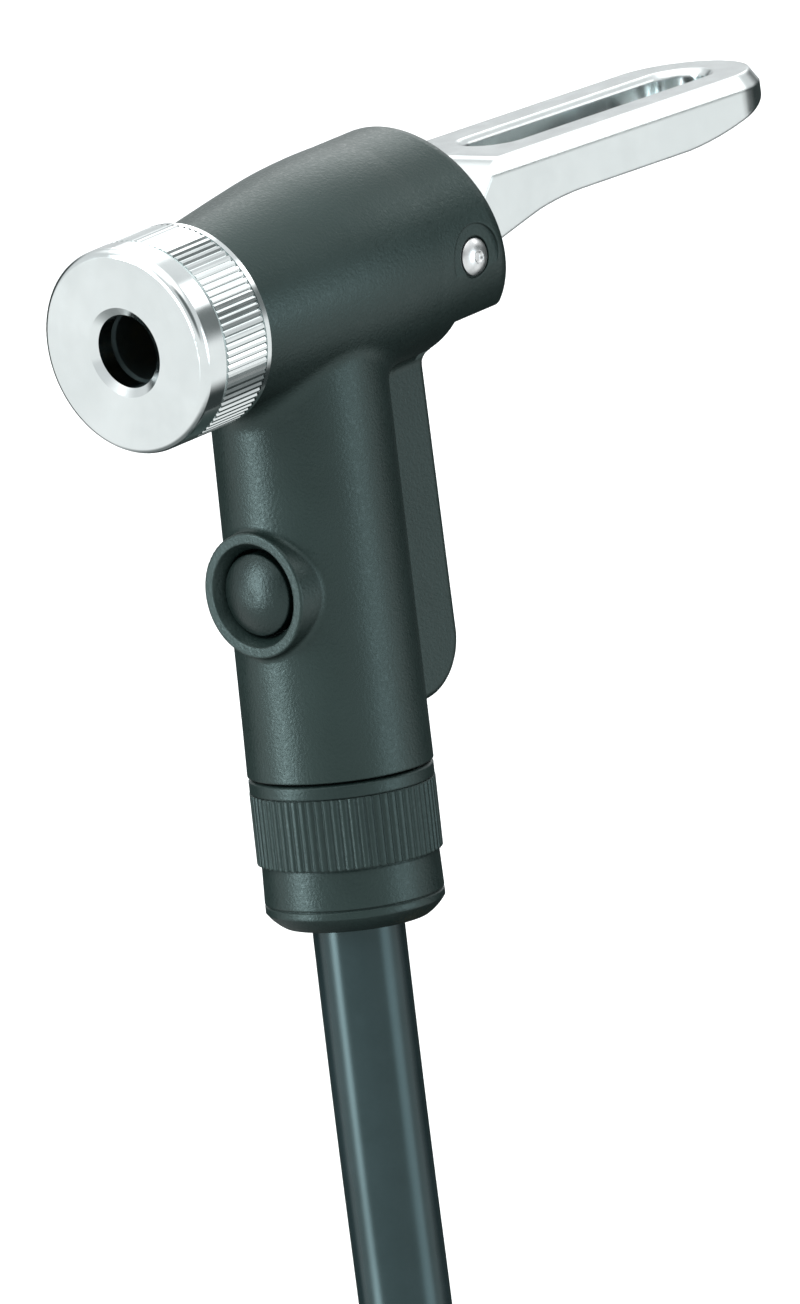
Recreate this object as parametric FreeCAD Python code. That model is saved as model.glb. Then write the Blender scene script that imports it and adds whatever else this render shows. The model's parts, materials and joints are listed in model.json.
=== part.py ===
import FreeCAD, Part
import math
import os

from FreeCAD import Vector

# Lever-lock inflator head on its hose, in millimetres.
# The origin is on the valve port's axis, just inside the chamfer at its mouth. Shapes are drawn
# from the cap's front face, PORT_INSET in front of it, and moved onto the origin when saved.
# +X points to the rear (the way the lever points), +Z up along the grip, Y is the symmetry normal.

# --- driving dimensions -------------------------------------------------------------------------
BARREL_TILT = 4.65          # the barrel's axis rises to the rear by this angle, in degrees
LEVER_TILT = 1.75           # the locked lever rises by this angle
PORT_R = 4.0                # valve port
PORT_INSET = 0.6
CAP_R = 11.2
CAP_LENGTH = 11.0
CAP_FRONT_WALL = 2.6
CAP_BORE_R = 8.7
NECK_R = 8.6                # threaded neck inside the cap
BARREL_R = 12.3
BARREL_LENGTH = 48.8        # from the cap's front face to the rear end, on the axis
BARREL_BORE_R = 7.0
GRIP_X = 26.5               # the grip's axis
GRIP_TOP_R = 9.55
GRIP_FOOT_R = 9.94
GRIP_FOOT_Z = -49.8
SPIGOT_R = 7.6              # threaded spigot inside the union nut
SPIGOT_END_Z = -57.8
RIB_HALF = 2.8
RIB_BACK_X = 44.0           # rib's back at its top; it leans out by RIB_LEAN at its foot
RIB_LEAN = 0.7
RIB_FOOT_Z = -45.2
BUTTON_Z = -29.3
BOSS_R = 6.78
BOSS_FACE_X = 15.76
BUTTON_R = 4.4
BUTTON_CROWN = 0.55         # the button's crown stands this far in front of the boss's face
BUTTON_TRAVEL = 1.7
PIVOT_X, PIVOT_Z = 43.3, 2.1
PIN_R = 2.0
PIN_LENGTH = 25.1
LEVER_HALF = 8.8
LEVER_TOP = 8.43            # lever's top face above the pivot
LEVER_BEVEL_W, LEVER_BEVEL_H = 1.0, 1.55
LEVER_TIP = 49.4            # centre of the lever's round tip, from the pivot
SLOT_HALF = 3.4             # lever's finger slot
SLOT_START = 18.9           # centre of the slot's round end nearest the pivot
SLOT_CHAMFER = 0.6
CHEEK_GAP_HALF = 9.2        # half the gap between the housing's cheeks
CAM_LOCKED, CAM_PER_RAD = 7.6, 1.5
CAM_HALF = 6.0
HUB_R = 5.1
NUT_TOP_R, NUT_FOOT_R = 9.87, 9.58
NUT_FOOT_Z = -66.25
THREAD_CLEARANCE = 0.1
HOSE_R = 4.95
BARB_R = 2.6
HOSE_TOP_Z = -48.0
COIL_X, COIL_Z = 60.0, -228.0
COIL_R = 56.0               # radius of the middle of the turns
COIL_TURNS = 2.5
COIL_PITCH = 10.0           # the turns lie side by side, a hose's diameter apart
TAIL_LENGTH = 52.0

# The hose's run from the barb to the coil, as corner points of straight runs joined by arcs.
HOSE_ROUTE = [
    (26.5, 0.0, -48.0),
    (26.5, 0.0, -80.0),
    (27.6, 0.0, -119.0),
    (23.0, -4.5, -155.0),
    (4.0, -12.5, -191.0),
    (4.0, -12.5, -228.0),
]

Y_AXIS = Vector(0, 1, 0)
Z_AXIS = Vector(0, 0, 1)
ORIGIN = Vector(0, 0, 0)


# --- helpers ------------------------------------------------------------------------------------
def outline(start, *steps):
    """Closed face in the XZ plane; a step is a point, or a (middle, end) pair for an arc."""
    here, edges = Vector(start[0], 0, start[1]), []
    first = here
    for step in steps:
        if isinstance(step[0], tuple):
            middle, end = (Vector(p[0], 0, p[1]) for p in step)
            edges.append(Part.Arc(here, middle, end).toShape())
        else:
            end = Vector(step[0], 0, step[1])
            edges.append(Part.makeLine(here, end))
        here = end
    if here.distanceToPoint(first) > 1e-6:
        edges.append(Part.makeLine(here, first))
    return Part.Face(Part.Wire(edges))


def lathe_x(start, *steps):
    """Solid of revolution about X from an outline of (x, radius) points."""
    return outline(start, *steps).revolve(ORIGIN, Vector(1, 0, 0), 360)


def lathe_z(start, *steps):
    """Solid of revolution about Z from an outline of (radius, z) points."""
    return outline(start, *steps).revolve(ORIGIN, Z_AXIS, 360)


def tube_x(x0, x1, outer, inner=0.0):
    solid = Part.makeCylinder(outer, x1 - x0, Vector(x0, 0, 0), Vector(1, 0, 0))
    if inner:
        solid = solid.cut(Part.makeCylinder(inner, x1 - x0 + 2, Vector(x0 - 1, 0, 0), Vector(1, 0, 0)))
    return solid


def tube_z(z0, z1, outer, inner=0.0, x=0.0, y=0.0):
    solid = Part.makeCylinder(outer, z1 - z0, Vector(x, y, z0))
    if inner:
        solid = solid.cut(Part.makeCylinder(inner, z1 - z0 + 2, Vector(x, y, z0 - 1)))
    return solid


def tilted(shape):
    """A shape drawn with the barrel's axis along X, turned onto the real axis."""
    return shape.copy().rotate(ORIGIN, Y_AXIS, -BARREL_TILT)


def moved(shape, x, y, z):
    copy = shape.copy()
    copy.translate(Vector(x, y, z))
    return copy


def prism_y(face, half):
    """Extrude an XZ face to y = -half .. +half."""
    return moved(face, 0, -half, 0).extrude(Vector(0, 2 * half, 0))


def knurl(outer, depth, teeth, length):
    """Straight knurl along Z from z = 0: a star prism whose teeth have flat tops."""
    points = []
    for i in range(teeth):
        for part, radius in ((0.0, outer - depth), (0.3, outer), (0.7, outer)):
            angle = 2 * math.pi * (i + part) / teeth
            points.append(Vector(radius * math.cos(angle), radius * math.sin(angle), 0))
    points.append(points[0])
    return Part.Face(Part.makePolygon(points)).extrude(Vector(0, 0, length))


def along_x(shape):
    """A shape drawn along Z, laid along X."""
    return shape.copy().rotate(ORIGIN, Y_AXIS, 90)


def torus(radius, section, centre, axis):
    return Part.makeTorus(radius, section, centre, axis)


def coil_spring(mean, wire, pitch, height, start, axis):
    """Round-wire compression spring along axis."""
    path = Part.makeHelix(pitch, height, mean)
    circle = Part.Wire(Part.makeCircle(wire, Vector(mean, 0, 0), Vector(0, 1, 0)))
    spring = Part.Wire(path).makePipeShell([circle], True, True)
    turn = FreeCAD.Rotation(Z_AXIS, axis)
    spring.Placement = FreeCAD.Placement(start, turn)
    return spring


def save(name, shape):
    tilt = math.radians(BARREL_TILT)
    shape = moved(shape, -PORT_INSET * math.cos(tilt), 0, -PORT_INSET * math.sin(tilt))
    solids = shape.Solids
    shape = solids[0] if len(solids) == 1 else Part.makeCompound(solids)
    shape.exportStep(f"parts/{name}.step")
    print(f"{name:22s} solids {len(solids)} volume {shape.Volume:10.1f} valid {shape.isValid()}")


# --- housing ------------------------------------------------------------------------------------
def barrel_outside():
    """The barrel swells from the neck to its full radius; its rear end leans and is rounded."""
    face = outline(
        (CAP_LENGTH + 0.3, 0), (CAP_LENGTH + 0.3, 9.95),
        ((19.0, 11.0), (26.5, 11.92)), ((31.5, 12.28), (38.0, BARREL_R)), (56.0, BARREL_R), (56.0, 0))
    body = face.revolve(ORIGIN, Vector(1, 0, 0), 360)
    rear = Part.makeBox(20, 40, 60, Vector(0, -20, -30))
    rear.rotate(ORIGIN, Y_AXIS, -13.0)
    body = body.cut(moved(rear, BARREL_LENGTH, 0, 0))
    edges = [e for e in body.Edges if e.BoundBox.XMin > 44 and e.BoundBox.ZLength > 15]
    return body.makeFillet(2.0, edges)


def grip_outside():
    """The grip is a slightly flaring tube below the barrel."""
    top_z, lower_z = 2.0, GRIP_FOOT_Z
    cone = Part.makeCone(GRIP_FOOT_R, GRIP_TOP_R, top_z - lower_z, Vector(GRIP_X, 0, lower_z))
    return cone


def rib():
    """Rib down the grip's back, with round corners; the folded lever's slot straddles it."""
    foot = RIB_FOOT_Z
    back = RIB_BACK_X + RIB_LEAN
    profile = outline(
        (30.0, -8.0), (RIB_BACK_X - 1.2, -8.0), ((RIB_BACK_X - 0.3, -8.4), (RIB_BACK_X, -9.3)),
        (back, foot + 7.0), ((back - 1.6, foot + 2.2), (back - 6.0, foot)), (30.0, foot))
    body = prism_y(profile, RIB_HALF)
    edges = [e for e in body.Edges
             if abs(abs(e.CenterOfMass.y) - RIB_HALF) < 1e-3 and e.CenterOfMass.x > 37.0]
    return body.makeFillet(1.1, edges)


def button_boss():
    """Round boss in front of the grip, its rim's edge slightly rounded."""
    face_x = BOSS_FACE_X
    profile = lathe_x((face_x, 0), (face_x, BOSS_R - 0.25), ((face_x + 0.07, BOSS_R - 0.07),
                      (face_x + 0.25, BOSS_R)), (face_x + 9.0, BOSS_R), (face_x + 9.0, 0))
    return moved(profile, 0, 0, BUTTON_Z)


def blend(shape, radius, chosen):
    """Fillet the edges that chosen() picks, the whole set or none."""
    edges = [e for e in shape.Edges if chosen(e)]
    return shape.makeFillet(radius, edges)


def housing_shell():
    barrel = tilted(barrel_outside())
    shell = barrel.fuse(grip_outside())
    shell = blend(shell, 3.0, lambda e: -13 < e.CenterOfMass.z < 0 and e.BoundBox.XMin > 15
                  and e.BoundBox.XMax < 37.5 and e.BoundBox.YLength > 8)
    shell = shell.fuse(rib())
    shell = blend(shell, 1.6, lambda e: 2.0 < abs(e.CenterOfMass.y) < 3.6 and e.BoundBox.ZLength > 20
                  and 34 < e.CenterOfMass.x < 37)
    shell = shell.fuse(button_boss())
    shell = blend(shell, 0.7, lambda e: abs(e.CenterOfMass.z - BUTTON_Z) < 1.0
                  and e.BoundBox.ZLength > 12 and 17 < e.CenterOfMass.x < 20)
    return shell


def lever_bay():
    """Space between the cheeks: closed in front and above, open to the rear and, past the rib, below."""
    ceiling = PIVOT_Z + LEVER_TOP + 0.45
    front = outline((35.0, ceiling), (45.0, ceiling + 0.2), (45.0, 0.0), (42.1, 0.0), (42.1, -6.8),
                    (37.2, -6.8), ((35.6, -6.2), (35.0, -4.6)))
    inside = tilted(tube_x(30.0, 60.0, BARREL_R - 0.8))
    rear = outline((42.1, -30.0), (42.1, ceiling + 0.15), (70.0, ceiling + 0.8), (70.0, -30.0))
    return prism_y(front, CHEEK_GAP_HALF).common(inside).fuse(prism_y(rear, CHEEK_GAP_HALF))


def housing():
    shell = housing_shell()
    stem = Part.makeBox(2.7, 2 * RIB_HALF + 0.4, 50, Vector(42.0, -RIB_HALF - 0.2, -57.7))
    keep_rib = shell.common(stem)
    shell = shell.cut(lever_bay())
    shell = shell.fuse(keep_rib)
    neck = tilted(tube_x(3.3, CAP_LENGTH + 2.3, NECK_R))
    shell = shell.fuse(neck)
    bores = [tilted(tube_x(1.0, 17.2, 6.5)), tilted(tube_x(16.0, 19.0, 4.6)),
             tilted(tube_x(18.6, 40.0, BARREL_BORE_R))]
    spigot = tube_z(SPIGOT_END_Z, GRIP_FOOT_Z + 1, SPIGOT_R, x=GRIP_X)
    shell = shell.fuse(spigot)
    bores += [tube_z(SPIGOT_END_Z - 1, -44.0, 5.6, x=GRIP_X), tube_z(-46.0, -2.0, 2.0, x=GRIP_X)]
    cup = lathe_x((-1, 0), (-1, 6.27), (0, 5.65), (1.3, BUTTON_R + 0.45), (5.1, BUTTON_R + 0.45), (5.1, 0))
    bores.append(moved(cup, BOSS_FACE_X, 0, BUTTON_Z))
    bores.append(moved(tube_x(20.5, 24.0, 3.0), 0, 0, BUTTON_Z))
    bores.append(moved(tube_x(23.4, 30.6, 2.5), 0, 0, BUTTON_Z))
    along_y = Part.makeCylinder(PIN_R, 40, Vector(PIVOT_X, -20, PIVOT_Z), Y_AXIS)
    bores.append(along_y)
    for side in (-1, 1):
        bores.append(Part.makeCylinder(PIN_R + 0.25, 6, Vector(PIVOT_X, side * 11.5, PIVOT_Z), Y_AXIS * side))
        spot_face = Part.makeCylinder(3.6, 6, Vector(PIVOT_X, side * 11.97, PIVOT_Z), Y_AXIS * side)
        bores.append(spot_face)
    for bore in bores:
        shell = shell.cut(bore)
    return shell


# --- front cap and its seal ---------------------------------------------------------------------
def valve_cap():
    chamfer_r, chamfer_depth = 4.9, 0.55
    root_r, knurl_start, knurl_end, rim_start = CAP_R - 0.35, 3.75, 9.95, 10.15
    body = lathe_x(
        (0, chamfer_r), (0, CAP_R - 0.9), ((0.26, CAP_R - 0.26), (0.9, CAP_R)),
        (3.35, CAP_R), (3.5, root_r), (rim_start, root_r),
        (rim_start, CAP_R - 0.05), (CAP_LENGTH - 0.2, CAP_R - 0.05), (CAP_LENGTH, CAP_R - 0.25),
        (CAP_LENGTH, CAP_BORE_R), (CAP_FRONT_WALL, CAP_BORE_R), (CAP_FRONT_WALL, PORT_R),
        (chamfer_depth, PORT_R))
    ring = along_x(knurl(CAP_R, 0.2, 92, knurl_end - knurl_start)).cut(tube_x(-1, 9, CAP_R - 1.5))
    return body.fuse(moved(ring, knurl_start, 0, 0))


def valve_seal():
    """Rubber gland that the plunger squeezes onto the valve."""
    return lathe_x((2.65, 4.3), (2.65, 6.3), (13.35, 6.3), (13.35, 3.8), (3.15, 3.8))


def plunger():
    """Sliding piston: nose, front land, waist at the air inlet, rear land, all with an air passage."""
    groove_r = 5.9
    body = lathe_x(
        (14.4, 0), (14.4, 4.5), (21.8, 4.5), (21.8, 6.95), (22.6, 6.95), (22.6, groove_r),
        (24.2, groove_r), (24.2, 6.95), (24.8, 6.95), (24.8, 5.0), (30.2, 5.0), (30.2, 6.95),
        (31.4, 6.95), (31.4, groove_r), (33.0, groove_r), (33.0, 6.95), (34.6, 6.95), (34.6, 0))
    body = body.cut(tube_x(14.0, 27.5, 1.5)).cut(tube_x(14.0, 15.4, 3.2))
    cross = Part.makeCylinder(1.2, 12, Vector(27.0, 0, -6))
    return body.cut(cross)


def valve_depressor():
    """Pin that opens the valve core, on a disc with air holes."""
    body = lathe_x((8.6, 0), (8.6, 0.7), (8.9, 0.95), (14.4, 0.95), (14.4, 3.2), (15.4, 3.2), (15.4, 0))
    for i in range(3):
        angle = 2 * math.pi * i / 3
        hole = Part.makeCylinder(0.55, 3, Vector(13.8, 2.0 * math.cos(angle), 2.0 * math.sin(angle)),
                                 Vector(1, 0, 0))
        body = body.cut(hole)
    return body


# --- lever --------------------------------------------------------------------------------------
def cam_face():
    """Cam that holds its flat follower at CAM_LOCKED - CAM_PER_RAD * angle as the lever folds."""
    start = math.radians(180 + BARREL_TILT - LEVER_TILT)
    steps, sweep = 16, math.radians(104)
    points = []
    for i in range(-2, steps + 1):
        angle = sweep * i / steps
        reach = CAM_LOCKED - CAM_PER_RAD * angle
        normal = start + angle
        slope = -CAM_PER_RAD
        x = reach * math.cos(normal) - slope * math.sin(normal)
        z = reach * math.sin(normal) + slope * math.cos(normal)
        points.append(Vector(x, 0, z))
    curve = Part.BSplineCurve()
    curve.interpolate(points)
    closing = [Part.makeLine(points[-1], ORIGIN), Part.makeLine(ORIGIN, points[0])]
    return Part.Face(Part.Wire([curve.toShape()] + closing))


def lever():
    tip_end = LEVER_TIP + LEVER_HALF + 1
    side = outline(
        (5.0, 3.6), (8.2, 7.35), ((9.4, 8.15), (11.2, LEVER_TOP)), (tip_end, LEVER_TOP), (tip_end, 7.2),
        ((50.2, 3.95), (40.0, 2.45)), (22.0, 2.4), ((18.3, 2.2), (15.0, 1.75)), (13.3, 1.36),
        (8.5, 0.17), (2.0, -1.44), (0, 0))
    side_solid = prism_y(side, LEVER_HALF + 2)
    section = [(-LEVER_HALF, -20), (LEVER_HALF, -20), (LEVER_HALF, LEVER_TOP - LEVER_BEVEL_H),
               (LEVER_HALF - LEVER_BEVEL_W, LEVER_TOP), (LEVER_BEVEL_W - LEVER_HALF, LEVER_TOP),
               (-LEVER_HALF, LEVER_TOP - LEVER_BEVEL_H), (-LEVER_HALF, -20)]
    bar = Part.Face(Part.makePolygon([Vector(-20, y, z) for y, z in section]))
    bar = bar.extrude(Vector(20 + LEVER_TIP, 0, 0))
    tip = lathe_z((0, -20), (LEVER_HALF, -20), (LEVER_HALF, LEVER_TOP - LEVER_BEVEL_H),
                  (LEVER_HALF - LEVER_BEVEL_W, LEVER_TOP), (0, LEVER_TOP))
    plan = bar.fuse(moved(tip, LEVER_TIP, 0, 0))
    body = side_solid.common(plan)
    hub = Part.makeCylinder(HUB_R, 2 * LEVER_HALF, Vector(0, -LEVER_HALF, 0), Y_AXIS)
    body = body.fuse(hub).fuse(prism_y(cam_face(), CAM_HALF))
    slot = stadium(SLOT_HALF, SLOT_START, LEVER_TIP, -10, 12)
    flare = Part.makeLoft([stadium_wire(SLOT_HALF + SLOT_CHAMFER + 0.2, SLOT_START, LEVER_TIP,
                                        LEVER_TOP + 0.2),
                           stadium_wire(SLOT_HALF, SLOT_START, LEVER_TIP, LEVER_TOP - SLOT_CHAMFER)],
                          True, True)
    channel = Part.makeBox(SLOT_START - 7.4, 2 * SLOT_HALF, 13.4, Vector(7.4, -SLOT_HALF, -10))
    body = body.cut(slot).cut(flare).cut(channel)
    bore = Part.makeCylinder(PIN_R + 0.04, 40, Vector(0, -20, 0), Y_AXIS)
    body = body.cut(bore)
    body.rotate(ORIGIN, Y_AXIS, -LEVER_TILT)
    return moved(body, PIVOT_X, 0, PIVOT_Z)


def stadium_wire(half, x0, x1, z):
    a, b = Vector(x0, -half, z), Vector(x1, -half, z)
    c, d = Vector(x1, half, z), Vector(x0, half, z)
    right = Part.Arc(b, Vector(x1 + half, 0, z), c).toShape()
    left = Part.Arc(d, Vector(x0 - half, 0, z), a).toShape()
    return Part.Wire([Part.makeLine(a, b), right, Part.makeLine(c, d), left])


def stadium(half, x0, x1, z0, z1):
    return Part.Face(stadium_wire(half, x0, x1, z0)).extrude(Vector(0, 0, z1 - z0))


def lever_pin():
    """Hinge pin with low domed ends, pressed into the cheeks."""
    end, edge = PIN_LENGTH / 2, PIN_LENGTH / 2 - 0.6
    face = outline((0, -end), (0.3, -end), ((1.35, -end + 0.18), (PIN_R, -edge)), (PIN_R, edge),
                   ((1.35, end - 0.18), (0.3, end)), (0, end))
    pin = face.revolve(ORIGIN, Z_AXIS, 360)
    dimple = Part.makeCone(0.75, 0.45, 0.3, Vector(0, 0, -end - 0.05))
    pin = pin.cut(dimple)
    pin.rotate(ORIGIN, Vector(1, 0, 0), -90)
    return moved(pin, PIVOT_X, 0, PIVOT_Z)


# --- bleed button -------------------------------------------------------------------------------
def at_button(shape):
    return moved(shape, 0, 0, BUTTON_Z)


def bleed_button():
    crown_x, back_x = BOSS_FACE_X - BUTTON_CROWN, BOSS_FACE_X + 3.2
    body = lathe_x((back_x, 0), (back_x, BUTTON_R), (crown_x + 1.25, BUTTON_R),
                   ((crown_x + 0.3, 2.5), (crown_x, 0.3)), (crown_x, 0))
    return at_button(body.cut(tube_x(17.4, 19.5, 1.05)))


def bleed_stem():
    return at_button(lathe_x((17.4, 0), (17.4, 1.05), (24.4, 1.05), (24.4, 2.2), (25.6, 2.2), (25.6, 0)))


def bleed_seat():
    return at_button(tube_x(20.9, 23.4, 3.0, 1.3))


# --- union nut, hose end ------------------------------------------------------------------------
def union_nut():
    top, foot = GRIP_FOOT_Z - 0.3, NUT_FOOT_Z
    knurl_top, knurl_foot = -51.7, -59.3
    body = lathe_z(
        (SPIGOT_R + THREAD_CLEARANCE, top), (NUT_TOP_R - 0.25, top), (NUT_TOP_R, top - 0.25),
        (NUT_TOP_R, knurl_top + 0.15), (NUT_TOP_R - 0.5, knurl_top - 0.1), (NUT_TOP_R - 0.5, knurl_foot),
        (NUT_FOOT_R - 0.1, knurl_foot - 0.3), (NUT_FOOT_R, -63.6), (NUT_FOOT_R - 0.25, -63.75),
        (NUT_FOOT_R, -63.9), (NUT_FOOT_R, -64.6), ((NUT_FOOT_R - 0.7, -65.45), (NUT_FOOT_R - 1.7, foot)),
        (5.4, foot), (5.4, -62.5), (6.6, -62.5), (6.6, -58.3), (SPIGOT_R + THREAD_CLEARANCE, -58.3))
    ring = knurl(NUT_TOP_R + 0.05, 0.22, 66, knurl_top - knurl_foot)
    ring = ring.cut(Part.makeCylinder(NUT_TOP_R - 1.2, 20, Vector(0, 0, -5)))
    body = body.fuse(moved(ring, 0, 0, knurl_foot))
    return moved(body, GRIP_X, 0, 0)


def hose_barb():
    """Brass barb: sealing flange, grooved collar for its O-ring, and two barbs inside the hose."""
    body = lathe_z((1.3, -44.0), (3.9, -44.0), (3.9, -44.6), (3.3, -44.6), (3.3, -45.9), (5.5, -45.9),
                   (5.5, -47.9), (BARB_R, -47.9), (BARB_R, -60.0), (2.0, -61.0), (1.3, -61.0))
    return moved(body, GRIP_X, 0, 0)


def rounded_path(points):
    """Straight runs joined by tangent arcs, each as large as its two runs allow."""
    corners = [Vector(*p) for p in points]
    edges, here = [], corners[0]
    for before, corner, after in zip(corners, corners[1:], corners[2:]):
        into, out = corner - before, after - corner
        shorter = min(into.Length, out.Length)
        turn = into.getAngle(out)
        reach = 0.45 * shorter
        radius = reach / math.tan(turn / 2)
        into.normalize()
        out.normalize()
        start, end = corner - into * reach, corner + out * reach
        inward = out - into
        inward.normalize()
        middle = corner + inward * (radius / math.cos(turn / 2) - radius)
        edges.append(Part.makeLine(here, start))
        edges.append(Part.Arc(start, middle, end).toShape())
        print(f"turn {math.degrees(turn):5.1f} degrees, radius {radius:6.1f} mm")
        here = end
    edges.append(Part.makeLine(here, corners[-1]))
    return Part.Wire(edges)


def hose():
    path = rounded_path(HOSE_ROUTE)
    start = Vector(*HOSE_ROUTE[0])
    circle = Part.Wire(Part.makeCircle(HOSE_R, start, Z_AXIS))
    tube = path.makePipeShell([circle], True, True)
    expected = math.pi * HOSE_R ** 2 * path.Length
    print(f"hose run {path.Length:.1f} mm, volume {tube.Volume:.0f}, section times length {expected:.0f}")
    bore = Part.makeCylinder(BARB_R, 14.0, Vector(GRIP_X, 0, HOSE_TOP_Z - 13.2))
    return tube.cut(bore)


def hose_coil():
    """Outer shape of the coil's turns, side by side along Y."""
    half = COIL_PITCH * COIL_TURNS / 2
    face = outline(
        (COIL_R - HOSE_R, -half), ((COIL_R, -half - HOSE_R), (COIL_R + HOSE_R, -half)),
        (COIL_R + HOSE_R, half), ((COIL_R, half + HOSE_R), (COIL_R - HOSE_R, half)))
    ring = face.revolve(ORIGIN, Z_AXIS, 360)
    ring.rotate(ORIGIN, Vector(1, 0, 0), -90)
    return moved(ring, COIL_X, 0, COIL_Z)


TAIL_X, TAIL_Y = COIL_X + COIL_R, COIL_PITCH * COIL_TURNS / 2
TAIL_Z = COIL_Z + TAIL_LENGTH


def at_tail(shape):
    return moved(shape, TAIL_X, TAIL_Y, TAIL_Z)


def hose_tail():
    return Part.makeCylinder(HOSE_R, TAIL_LENGTH, Vector(TAIL_X, TAIL_Y, COIL_Z))


def hose_tie():
    """Strap closed round the bundle of turns, at the coil's foot."""
    half_y = COIL_PITCH * COIL_TURNS / 2 + HOSE_R + 0.3
    half_r, wide, thick = HOSE_R + 1.1, 16.0, 1.4
    middle = Vector(COIL_X - wide / 2, 0, COIL_Z - COIL_R + 0.3)
    inner = Part.makeBox(wide, 2 * half_y, 2 * half_r, middle - Vector(0, half_y, half_r))
    size = thick * 2
    outer = Part.makeBox(wide, 2 * half_y + size, 2 * half_r + size,
                         middle - Vector(0, half_y + thick, half_r + thick))
    band = outer.makeFillet(4.5, [e for e in outer.Edges if e.BoundBox.XLength > 10])
    hole = inner.makeFillet(3.1, [e for e in inner.Edges if e.BoundBox.XLength > 10])
    return band.cut(hole)


def hexagon(across, z0, z1):
    radius = across / math.sqrt(3)
    points = [Vector(radius * math.cos(math.radians(60 * i)), radius * math.sin(math.radians(60 * i)), z0)
              for i in range(7)]
    return Part.Face(Part.makePolygon(points)).extrude(Vector(0, 0, z1 - z0))


def end_ferrule():
    """Crimped sleeve over the hose's end."""
    return at_tail(lathe_z((HOSE_R + 0.05, -14.0), (6.3, -14.0), (6.5, -13.6), (6.5, -10.2), (6.1, -9.6),
                           (6.1, -8.6), (6.5, -8.0), (6.5, -4.8), (6.1, -4.2), (6.1, -3.2), (6.5, -2.6),
                           (6.5, 1.2), (3.2, 1.2), (3.2, 0.05), (HOSE_R + 0.05, 0.05)))


def end_nipple():
    return at_tail(lathe_z((1.4, 0.05), (3.15, 0.05), (3.15, 6.0), (4.3, 6.0), (4.3, 8.0), (3.6, 8.8),
                           (1.4, 8.8)))


def end_nut():
    """Swivel nut that the pump's outlet screws into."""
    blank = hexagon(14.0, 2.2, 17.5)
    lining = lathe_z((0, 2.2), (6.9, 2.2), (8.1, 3.1), (8.1, 16.6), (6.9, 17.5), (0, 17.5))
    body = blank.common(lining)
    body = body.cut(tube_z(0, 5.9, 3.3)).cut(tube_z(5.9, 9.5, 4.6)).cut(tube_z(9.4, 19, 4.9))
    return at_tail(body)


# --- everything ---------------------------------------------------------------------------------
def main():
    os.makedirs("parts", exist_ok=True)
    barrel_axis = Vector(math.cos(math.radians(BARREL_TILT)), 0, math.sin(math.radians(BARREL_TILT)))
    x_axis = Vector(1, 0, 0)

    save("housing", housing())
    save("lever_pin", lever_pin())
    save("lever", lever())
    save("valve_cap", tilted(valve_cap()))
    save("cap_glide_ring", tilted(tube_x(2.65, 3.2, 8.55, 6.45)))
    save("valve_seal", tilted(valve_seal()))
    save("seal_washer", tilted(tube_x(13.4, 14.35, 6.3, 3.4)))
    save("valve_depressor", tilted(valve_depressor()))
    save("plunger", tilted(plunger()))
    save("plunger_front_o_ring", torus(6.22, 0.74, barrel_axis * 23.4, barrel_axis))
    save("plunger_rear_o_ring", torus(6.22, 0.74, barrel_axis * 32.2, barrel_axis))
    save("cam_shoe", tilted(lathe_x((34.6, 0), (34.6, 5.5), (35.3, 5.5), (35.6, 5.2), (35.6, 0))))
    save("return_spring", coil_spring(5.75, 0.4, 1.0, 2.35, barrel_axis * 19.02, barrel_axis))
    save("bleed_button", bleed_button())
    save("bleed_stem", bleed_stem())
    save("bleed_seat", bleed_seat())
    save("bleed_o_ring", torus(1.65, 0.49, Vector(23.9, 0, BUTTON_Z), x_axis))
    save("bleed_spring", coil_spring(1.6, 0.28, 1.1, 4.4, Vector(25.9, 0, BUTTON_Z), x_axis))
    save("union_nut", union_nut())
    save("nut_slip_ring", tube_z(-62.45, -61.95, 6.5, 5.3, x=GRIP_X))
    save("clamp_sleeve", moved(lathe_z((HOSE_R + 0.02, -61.9), (6.5, -61.9), (6.5, -60.0), (5.9, -58.0),
                                       (HOSE_R + 0.02, -58.0)), GRIP_X, 0, 0))
    save("hose_barb", hose_barb())
    save("barb_o_ring", torus(4.4, 0.65, Vector(GRIP_X, 0, -45.24), Z_AXIS))
    save("hose", hose())
    save("hose_coil", hose_coil())
    save("hose_tail", hose_tail())
    save("hose_tie", hose_tie())
    save("end_ferrule", end_ferrule())
    save("end_nipple", end_nipple())
    save("end_nut", end_nut())
    save("end_washer", at_tail(tube_z(8.85, 9.4, 4.5, 2.0)))


main()
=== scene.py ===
import bpy
import json
import math
from mathutils import Matrix, Vector


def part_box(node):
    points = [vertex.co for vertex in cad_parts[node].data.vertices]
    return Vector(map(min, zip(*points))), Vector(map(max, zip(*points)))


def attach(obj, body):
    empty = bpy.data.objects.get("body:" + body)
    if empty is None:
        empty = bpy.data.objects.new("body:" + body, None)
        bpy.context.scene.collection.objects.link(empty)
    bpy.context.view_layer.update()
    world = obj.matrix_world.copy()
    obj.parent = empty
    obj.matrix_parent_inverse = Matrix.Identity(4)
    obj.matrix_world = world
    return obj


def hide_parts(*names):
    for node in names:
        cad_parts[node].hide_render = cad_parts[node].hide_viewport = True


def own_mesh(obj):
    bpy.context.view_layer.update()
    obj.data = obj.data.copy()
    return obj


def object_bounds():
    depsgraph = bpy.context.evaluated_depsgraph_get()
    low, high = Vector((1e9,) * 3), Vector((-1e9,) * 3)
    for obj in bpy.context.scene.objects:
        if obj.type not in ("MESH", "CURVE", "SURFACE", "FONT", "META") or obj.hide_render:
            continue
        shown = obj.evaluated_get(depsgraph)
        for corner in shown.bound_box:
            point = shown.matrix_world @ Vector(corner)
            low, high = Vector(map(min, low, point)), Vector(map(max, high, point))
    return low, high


# Lever-lock inflator head on its hose. All sizes are in metres.

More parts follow.
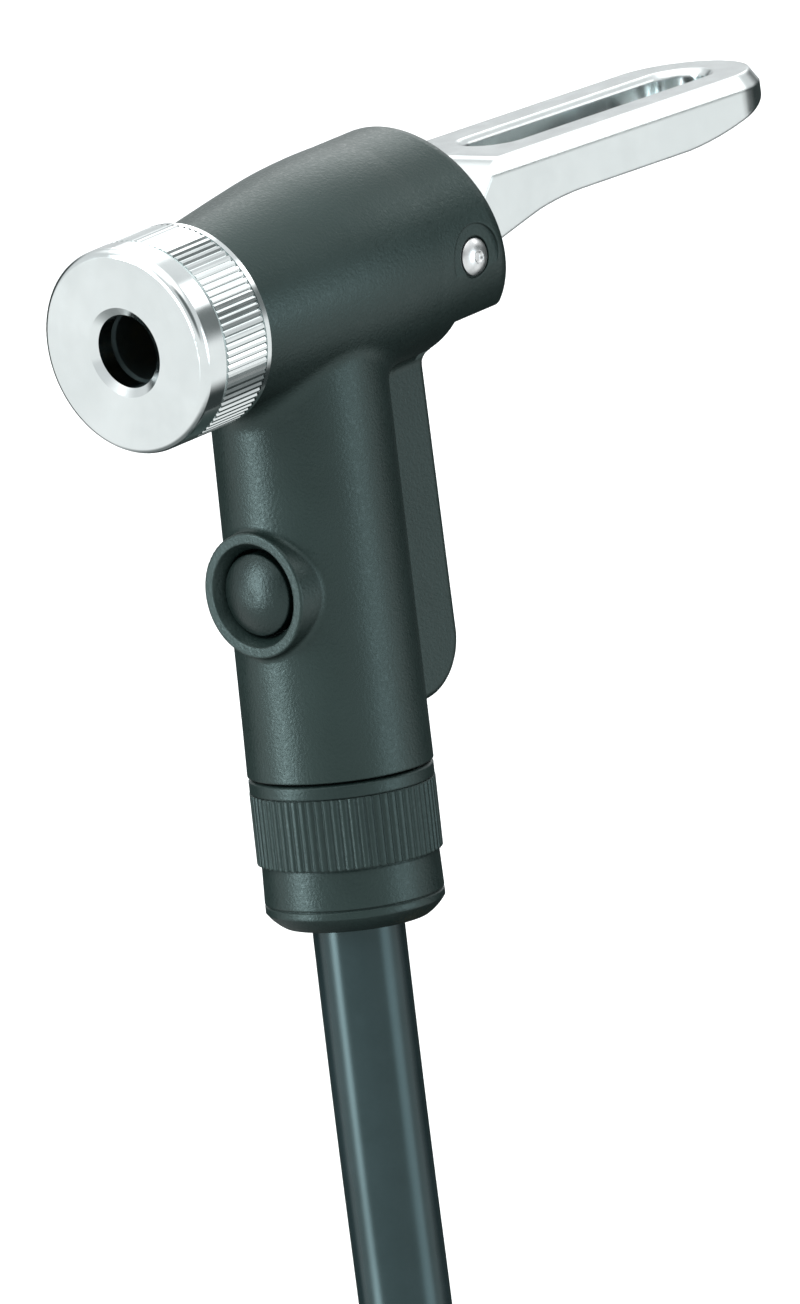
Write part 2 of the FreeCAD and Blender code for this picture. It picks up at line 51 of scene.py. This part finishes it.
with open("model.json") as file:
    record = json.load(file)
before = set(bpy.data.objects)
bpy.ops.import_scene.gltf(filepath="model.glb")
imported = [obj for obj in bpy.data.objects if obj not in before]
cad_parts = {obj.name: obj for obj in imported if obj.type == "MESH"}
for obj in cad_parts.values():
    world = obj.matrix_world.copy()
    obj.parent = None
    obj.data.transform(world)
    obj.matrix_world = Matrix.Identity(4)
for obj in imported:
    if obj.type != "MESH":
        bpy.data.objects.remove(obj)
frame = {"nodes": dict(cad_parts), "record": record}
cad_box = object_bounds()

# --- what the scene is built from ---------------------------------------------------------------
# Places below are measured from the middle of the cap's front face. Taking INSET off gives the frame's.
INSET = Vector((0.000598, 0.0, 0.0000486))
HOSE_R = 0.00495
COIL_CENTRE = Vector((0.060, 0.0, -0.228))
COIL_R = 0.056
COIL_TURNS = 2.5
COIL_PITCH = 0.010
COIL_STEPS = 16                                 # points to a turn
TAIL_LENGTH = 0.052
HOSE_ROUTE = [
    (0.0265, 0.0, -0.048),
    (0.0265, 0.0, -0.080),
    (0.0276, 0.0, -0.119),
    (0.0230, -0.0045, -0.155),
    (0.0040, -0.0125, -0.191),
]
SPRING_WIRE_R = 0.00028
SPRING_TURNS = 4
SPRING_STEPS = 24                               # points to a turn
CAMERA_AZIMUTH = math.radians(-48.2)
CAMERA_HEIGHT = math.radians(9.95)
CAMERA_ROLL = math.radians(-6.36)
CAMERA_DISTANCE = 2.857
CAMERA_TARGET = Vector((0.03792, 0.0, -0.03987))
CAMERA_LENS = 743.0                             # in millimetres, as the sensor's width is
CAMERA_SENSOR = 36.0
FLOOR_SIZE = 6.0
FLOOR_DROP = 0.0005                             # from the object's lowest point to the floor


# --- camera -------------------------------------------------------------------------------------
def add_camera():
    a, e, r = CAMERA_AZIMUTH, CAMERA_HEIGHT, CAMERA_ROLL
    back = Vector((math.sin(a) * math.cos(e), -math.cos(a) * math.cos(e), math.sin(e)))
    level = Vector((0, 0, 1)).cross(back).normalized()
    upright = back.cross(level)
    right = level * math.cos(r) + upright * math.sin(r)
    up = upright * math.cos(r) - level * math.sin(r)
    data = bpy.data.cameras.new("camera")
    data.lens = CAMERA_LENS
    data.sensor_width = CAMERA_SENSOR
    data.clip_start, data.clip_end = 0.1, 20.0
    camera = bpy.data.objects.new("camera", data)
    turn = Matrix((right, up, back)).transposed().to_4x4()
    camera.matrix_world = Matrix.Translation(CAMERA_TARGET - INSET + back * CAMERA_DISTANCE) @ turn
    bpy.context.scene.collection.objects.link(camera)
    bpy.context.scene.camera = camera


# --- node helpers -------------------------------------------------------------------------------
class Shader:
    """A material's node tree with short calls for its usual nodes."""

    def __init__(self, name, **constants):
        self.material = bpy.data.materials.new(name)
        self.material.use_nodes = True
        self.tree = self.material.node_tree
        self.bsdf = self.tree.nodes["Principled BSDF"]
        for socket, value in constants.items():
            self.bsdf.inputs[socket.replace("_", " ")].default_value = value
        coordinates = self.tree.nodes.new("ShaderNodeTexCoord")
        self.place = coordinates.outputs["Object"]

    def node(self, kind, **settings):
        node = self.tree.nodes.new(kind)
        for key, value in settings.items():
            setattr(node, key, value)
        return node

    def link(self, a, b):
        self.tree.links.new(a, b)

    def scaled(self, scale):
        mapping = self.node("ShaderNodeMapping")
        mapping.inputs["Scale"].default_value = scale
        self.link(self.place, mapping.inputs["Vector"])
        return mapping.outputs["Vector"]

    def noise(self, scale, detail=3.0, rough=0.55, stretch=(1, 1, 1)):
        noise = self.node("ShaderNodeTexNoise")
        noise.inputs["Scale"].default_value = scale
        noise.inputs["Detail"].default_value = detail
        noise.inputs["Roughness"].default_value = rough
        self.link(self.scaled(stretch), noise.inputs["Vector"])
        return noise.outputs["Fac"]

    def spread(self, value, low, high, source=(0.35, 0.65)):
        """value from its source range onto low..high."""
        node = self.node("ShaderNodeMapRange")
        node.inputs["From Min"].default_value, node.inputs["From Max"].default_value = source
        node.inputs["To Min"].default_value, node.inputs["To Max"].default_value = low, high
        self.link(value, node.inputs["Value"])
        return node.outputs["Result"]

    def mix(self, factor, a, b):
        node = self.node("ShaderNodeMix", data_type="RGBA")
        node.inputs[6].default_value, node.inputs[7].default_value = (*a, 1), (*b, 1)
        self.link(factor, node.inputs[0])
        return node.outputs[2]

    def bump(self, height, distance, strength=1.0, after=None):
        node = self.node("ShaderNodeBump")
        node.inputs["Strength"].default_value = strength
        node.inputs["Distance"].default_value = distance
        self.link(height, node.inputs["Height"])
        if after is not None:
            self.link(after, node.inputs["Normal"])
        return node.outputs["Normal"]

    def rounded(self, radius):
        """Normals that round every sharp edge over this radius."""
        node = self.node("ShaderNodeBevel", samples=6)
        node.inputs["Radius"].default_value = radius
        return node.outputs["Normal"]

    def finish(self, colour=None, roughness=None, normal=None):
        if colour is not None:
            self.link(colour, self.bsdf.inputs["Base Color"])
        if roughness is not None:
            self.link(roughness, self.bsdf.inputs["Roughness"])
        if normal is not None:
            self.link(normal, self.bsdf.inputs["Normal"])
        return self.material


# --- materials ----------------------------------------------------------------------------------
def moulded_plastic(name, dark, light, low, high):
    """Moulded plastic: fine grain with tiny glints, a cloudy tone, and edges slightly rounded."""
    s = Shader(name, Specular_IOR_Level=0.5, Specular_Tint=(0.76, 1.0, 0.98, 1.0))
    cloud = s.noise(75.0, 4.0, 0.6)
    colour = s.mix(s.spread(cloud, 0.0, 1.0), dark, light)
    glints = s.spread(s.noise(2200.0, 2.0, 0.6), high, low, (0.50, 0.72))
    fine = s.bump(s.noise(3000.0, 2.0), 0.00005, 0.8, s.rounded(0.0003))
    wide = s.bump(s.noise(420.0, 3.0), 0.00004, 0.35, fine)
    return s.finish(colour, glints, wide)


def plated_metal(name, dark, light, low, high, bevel=0.0005):
    """Bright plating with faint polishing haze and slight waviness."""
    s = Shader(name, Metallic=1.0)
    haze = s.noise(140.0, 4.0, 0.6)
    colour = s.mix(s.spread(haze, 0.0, 1.0), dark, light)
    roughness = s.spread(s.noise(420.0, 3.0), low, high)
    wave = s.bump(s.noise(160.0, 2.0), 0.000004, 0.3, s.rounded(bevel) if bevel else None)
    return s.finish(colour, roughness, wave)


def turned_metal(name, dark, light, low, high):
    """Turned or drawn metal: a fine uneven grain in its tone, gloss and surface."""
    s = Shader(name, Metallic=1.0)
    grain = s.noise(900.0, 2.0, 0.5)
    colour = s.mix(s.spread(grain, 0.0, 1.0), dark, light)
    roughness = s.spread(s.noise(500.0, 3.0), low, high)
    return s.finish(colour, roughness, s.bump(grain, 0.00001, 0.4, s.rounded(0.00015)))


def rubber(name, dark, light, low, high, stretch=(1, 1, 1)):
    """Rubber: soft tone changes and a fine skin, drawn out into faint lines where stretch says."""
    s = Shader(name, Specular_IOR_Level=0.5, Specular_Tint=(0.70, 0.98, 1.0, 1.0))
    bloom = s.noise(160.0, 4.0, 0.6)
    colour = s.mix(s.spread(bloom, 0.0, 1.0), dark, light)
    roughness = s.spread(s.noise(500.0, 3.0, 0.5, stretch), low, high)
    skin = s.bump(s.noise(1500.0, 2.0, 0.5, stretch), 0.000008, 0.3, s.rounded(0.0002))
    return s.finish(colour, roughness, skin)


def woven_strap(name):
    """Hook-and-loop strap: short nap over a woven ground."""
    s = Shader(name, Roughness=0.9)
    wave = s.node("ShaderNodeTexWave", wave_type="BANDS", bands_direction="Y")
    wave.inputs["Scale"].default_value = 320.0
    wave.inputs["Distortion"].default_value = 1.5
    s.link(s.place, wave.inputs["Vector"])
    nap = s.noise(2400.0, 3.0)
    colour = s.mix(s.spread(nap, 0.0, 1.0), (0.008, 0.009, 0.01), (0.03, 0.032, 0.034))
    return s.finish(colour, None, s.bump(nap, 0.0002, 0.8, s.bump(wave.outputs["Fac"], 0.0002, 0.5)))


# Each slot: its maker, the darker and lighter colour, the lowest and highest roughness, and any extra.
FINISHES = {
    "housing_plastic": (moulded_plastic, (0.010, 0.020, 0.0175), (0.014, 0.026, 0.0235), 0.28, 0.40),
    "nut_plastic": (moulded_plastic, (0.008, 0.017, 0.0155), (0.012, 0.024, 0.0215), 0.28, 0.40),
    "button_plastic": (moulded_plastic, (0.004, 0.010, 0.0085), (0.007, 0.015, 0.0135), 0.26, 0.36),
    "lever_chrome": (plated_metal, (0.68, 0.72, 0.72), (0.71, 0.75, 0.75), 0.13, 0.19),
    "cap_chrome": (plated_metal, (0.68, 0.72, 0.72), (0.74, 0.78, 0.78), 0.08, 0.14, 0.0),
    "pin_steel": (turned_metal, (0.60, 0.61, 0.61), (0.78, 0.79, 0.79), 0.25, 0.40),
    "spring_steel": (turned_metal, (0.45, 0.46, 0.47), (0.60, 0.61, 0.62), 0.25, 0.40),
    "ferrule_steel": (turned_metal, (0.55, 0.56, 0.57), (0.72, 0.73, 0.74), 0.22, 0.36),
    "inner_brass": (turned_metal, (0.62, 0.44, 0.18), (0.80, 0.60, 0.28), 0.18, 0.34),
    "inner_plastic": (moulded_plastic, (0.55, 0.55, 0.51), (0.66, 0.66, 0.62), 0.35, 0.5),
    "seal_rubber": (rubber, (0.004, 0.006, 0.006), (0.007, 0.009, 0.009), 0.5, 0.65),
    "hose_rubber": (rubber, (0.012, 0.024, 0.026), (0.017, 0.031, 0.034), 0.21, 0.27, (1, 1, 0.06)),
    "tie_fabric": (woven_strap,),
}
MATERIALS = {slot: maker(slot, *values) for slot, (maker, *values) in FINISHES.items()}


def dress_cad():
    slots = {s["node"]: s["material_slot"] for s in frame["record"]["subparts"]}
    for name, piece in frame["nodes"].items():
        piece.data.materials.clear()
        piece.data.materials.append(MATERIALS[slots[name]])


# --- hose ---------------------------------------------------------------------------------------
def hose_points():
    """The route down from the grip, then the coil's turns side by side, then the straight tail."""
    points = [Vector(p) for p in HOSE_ROUTE]
    steps = int(COIL_TURNS * COIL_STEPS)
    first_y = -COIL_PITCH * COIL_TURNS / 2
    # The smooth line runs inside its points by about 2% of the radius. This makes up for half of that.
    reach = COIL_R / math.cos(math.pi / COIL_STEPS) ** 0.5
    for i in range(steps + 1):
        angle = math.pi + 2 * math.pi * i / COIL_STEPS
        points.append(COIL_CENTRE + Vector((
            reach * math.cos(angle), first_y + COIL_PITCH * i / COIL_STEPS, reach * math.sin(angle))))
    end = COIL_CENTRE + Vector((COIL_R, -first_y, 0))
    points.append(end + Vector((0, 0, TAIL_LENGTH * 0.5)))
    points.append(end + Vector((0, 0, TAIL_LENGTH)))
    return points


def add_hose():
    curve = bpy.data.curves.new("air_hose", "CURVE")
    curve.dimensions = "3D"
    spline = curve.splines.new("NURBS")
    points = hose_points()
    spline.points.add(len(points) - 1)
    for target, point in zip(spline.points, points):
        target.co = (*(point - INSET), 1.0)
    spline.order_u = 3
    spline.use_endpoint_u = True
    spline.resolution_u = 12
    curve.bevel_depth = HOSE_R
    curve.bevel_resolution = 10
    curve.use_fill_caps = True
    curve.materials.append(MATERIALS["hose_rubber"])
    hose = bpy.data.objects.new("air_hose", curve)
    bpy.context.scene.collection.objects.link(hose)
    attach(hose, "housing")
    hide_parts("hose", "hose_coil", "hose_tail")
    return hose


# --- bleed spring -------------------------------------------------------------------------------
def add_bleed_spring():
    """The button's spring, in the CAD spring's place."""
    low, high = (Vector(corner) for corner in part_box("bleed_spring"))
    centre, length = (low + high) / 2, high.x - low.x
    coil_r = (high.y - low.y) / 2 - SPRING_WIRE_R
    steps = SPRING_TURNS * SPRING_STEPS
    curve = bpy.data.curves.new("bleed_spring_line", "CURVE")
    curve.dimensions = "3D"
    spline = curve.splines.new("POLY")
    spline.points.add(steps)
    for i, point in enumerate(spline.points):
        angle = 2 * math.pi * i / SPRING_STEPS
        along = low.x + SPRING_WIRE_R + (length - 2 * SPRING_WIRE_R) * i / steps
        point.co = (along, centre.y + coil_r * math.cos(angle), centre.z + coil_r * math.sin(angle), 1.0)
    curve.bevel_depth = SPRING_WIRE_R
    curve.bevel_resolution = 3
    curve.use_fill_caps = True
    line = bpy.data.objects.new("bleed_spring_line", curve)
    bpy.context.scene.collection.objects.link(line)
    mesh = bpy.data.meshes.new_from_object(line.evaluated_get(bpy.context.evaluated_depsgraph_get()))
    bpy.data.objects.remove(line)
    mesh.materials.append(MATERIALS["spring_steel"])
    spring = bpy.data.objects.new("button_spring", mesh)
    bpy.context.scene.collection.objects.link(spring)
    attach(spring, "housing")
    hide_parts("bleed_spring")
    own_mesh(spring)


# --- studio -------------------------------------------------------------------------------------
def add_floor():
    """Pale floor, which the part neither mirrors nor is lit by: the room's lower half stands in."""
    bpy.ops.mesh.primitive_plane_add(size=FLOOR_SIZE, location=(0, 0, cad_box[0][2] - FLOOR_DROP))
    floor = bpy.context.object
    floor.name = "floor"
    s = Shader("floor", Specular_IOR_Level=0.1)
    tone = s.mix(s.spread(s.noise(3.0), 0.0, 1.0), (0.93, 0.94, 0.94), (0.95, 0.96, 0.96))
    floor.data.materials.append(s.finish(tone, s.spread(s.noise(40.0), 0.8, 0.95)))
    floor.visible_glossy = False
    floor.visible_diffuse = False


# The room's lights and darks: name, direction, radius and soft edge's width in degrees, and colour.
ROOM_FILL = (0.84, 0.86, 0.87)
ROOM = [
    ("floor_glow", (0.0, 0.0, -1.0), 87, 8, (1.06, 1.08, 1.08)),
    ("dark_below", (0.25, 0.20, -0.95), 40, 30, (0.22, 0.24, 0.24)),
    ("overhead_light", (-0.20, 0.0, 0.98), 42, 30, (2.0, 2.0, 2.0)),
    ("dark_behind_right", (0.97, 0.11, -0.20), 24, 16, (0.04, 0.05, 0.05)),
    ("dark_behind_left", (0.23, 0.97, -0.08), 28, 18, (0.04, 0.05, 0.05)),
    ("dark_behind", (0.73, 0.66, -0.17), 14, 10, (0.05, 0.06, 0.06)),
    ("dark_behind_low", (0.73, 0.20, -0.65), 33, 14, (0.04, 0.05, 0.05)),
    ("dark_right", (0.92, -0.38, 0.03), 13, 10, (0.05, 0.06, 0.06)),
    ("back_wall", (0.68, 0.66, 0.30), 22, 14, (0.72, 0.74, 0.75)),
    ("top_light", (0.70, 0.42, 0.58), 16, 14, (2.8, 2.8, 2.8)),
    ("dark_front_right", (0.73, -0.62, 0.22), 11, 12, (0.20, 0.22, 0.22)),
    ("dark_in_front", (-0.70, -0.62, 0.36), 20, 20, (0.16, 0.18, 0.18)),
    ("left_light_low", (-0.86, 0.46, -0.09), 9, 8, (10.0, 10.8, 11.2)),
    ("left_light_middle", (-0.86, 0.46, 0.12), 9, 8, (10.0, 10.8, 11.2)),
    ("left_light_top", (-0.84, 0.44, 0.33), 9, 8, (10.0, 10.8, 11.2)),
    ("front_light", (0.32, -0.94, -0.06), 13, 12, (3.2, 3.6, 3.8)),
    ("bevel_light", (0.73, -0.43, 0.53), 9, 10, (2.8, 2.8, 2.8)),
]


def add_world():
    """A round room with soft-edged lights and dark corners for the gloss to pick up, laid on in turn."""
    world = bpy.data.worlds.new("studio")
    world.use_nodes = True
    tree = world.node_tree
    direction = tree.nodes.new("ShaderNodeTexCoord").outputs["Generated"]
    fill = tree.nodes.new("ShaderNodeRGB")
    fill.outputs[0].default_value = (*ROOM_FILL, 1)
    colour = fill.outputs[0]
    for name, towards, radius, edge, tone in ROOM:
        facing = tree.nodes.new("ShaderNodeVectorMath")
        facing.operation = "DOT_PRODUCT"
        facing.inputs[1].default_value = Vector(towards).normalized()
        tree.links.new(direction, facing.inputs[0])
        inside = tree.nodes.new("ShaderNodeMapRange")
        inside.interpolation_type = "SMOOTHSTEP"
        inside.inputs["From Min"].default_value = math.cos(math.radians(radius + edge / 2))
        inside.inputs["From Max"].default_value = math.cos(math.radians(max(radius - edge / 2, 0)))
        tree.links.new(facing.outputs["Value"], inside.inputs["Value"])
        blend = tree.nodes.new("ShaderNodeMix")
        blend.name = name
        blend.data_type = "RGBA"
        tree.links.new(inside.outputs["Result"], blend.inputs[0])
        tree.links.new(colour, blend.inputs[6])
        blend.inputs[7].default_value = (*tone, 1)
        colour = blend.outputs[2]
    tree.links.new(colour, tree.nodes["Background"].inputs["Color"])
    bpy.context.scene.world = world


add_camera()
hose = add_hose()
add_bleed_spring()
dress_cad()
add_floor()
add_world()
bpy.context.scene.view_settings.view_transform = "Standard"
